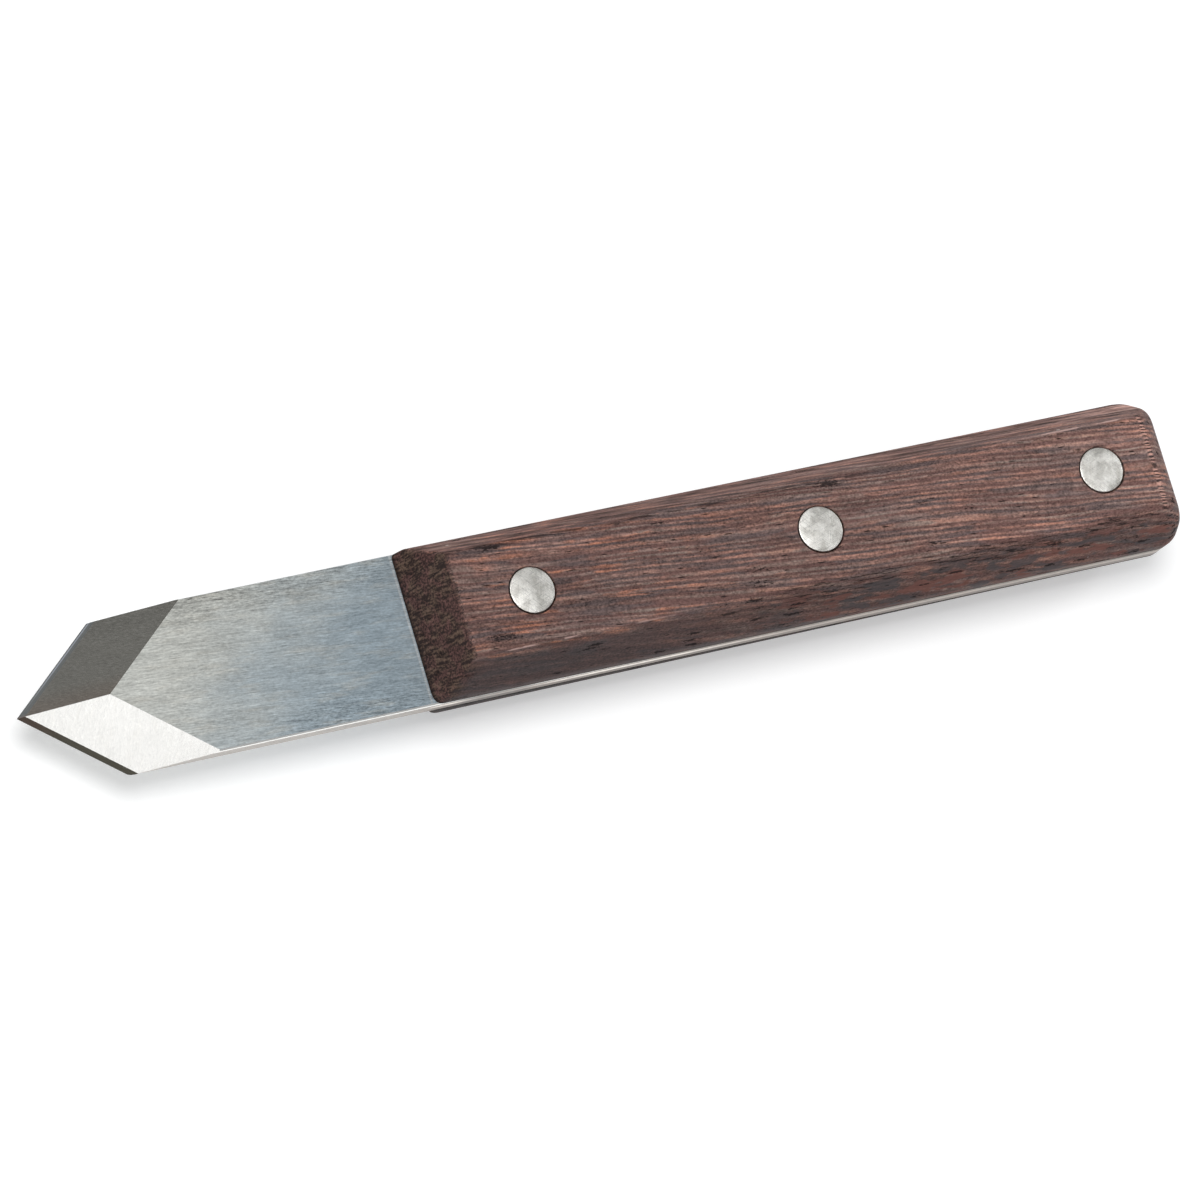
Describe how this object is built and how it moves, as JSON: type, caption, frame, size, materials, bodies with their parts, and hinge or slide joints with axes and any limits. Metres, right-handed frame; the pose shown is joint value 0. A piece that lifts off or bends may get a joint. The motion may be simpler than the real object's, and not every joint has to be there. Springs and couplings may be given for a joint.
{
  "type": "marking knife",
  "caption": "Full-tang marking knife: flat spear-point blade bevelled on one face, with two dark hardwood scales held by two-part rivets.",
  "frame": {"origin": "bottom centre of the bounding box, on the outer face of the lower scale, half way along the knife", "axes": "+X runs along the knife from the tip to the butt, +Y across it, +Z out of the bevelled face of the blade, so the knife lies on its lower scale"},
  "size_m": [0.159, 0.02, 0.02],
  "materials": {
    "blade_steel": "brushed lengthwise, with ground bevels",
    "scale_wood": "oiled open-grained dark hardwood",
    "rivet_metal": "satin, lightly scratched"
  },
  "bodies": {
    "root": {"blade": "blade_steel", "upper_scale": "scale_wood", "lower_scale": "scale_wood", "front_rivet_pin": "rivet_metal", "front_rivet_socket": "rivet_metal", "middle_rivet_pin": "rivet_metal", "middle_rivet_socket": "rivet_metal", "rear_rivet_pin": "rivet_metal", "rear_rivet_socket": "rivet_metal"}
  },
  "joints": []
}
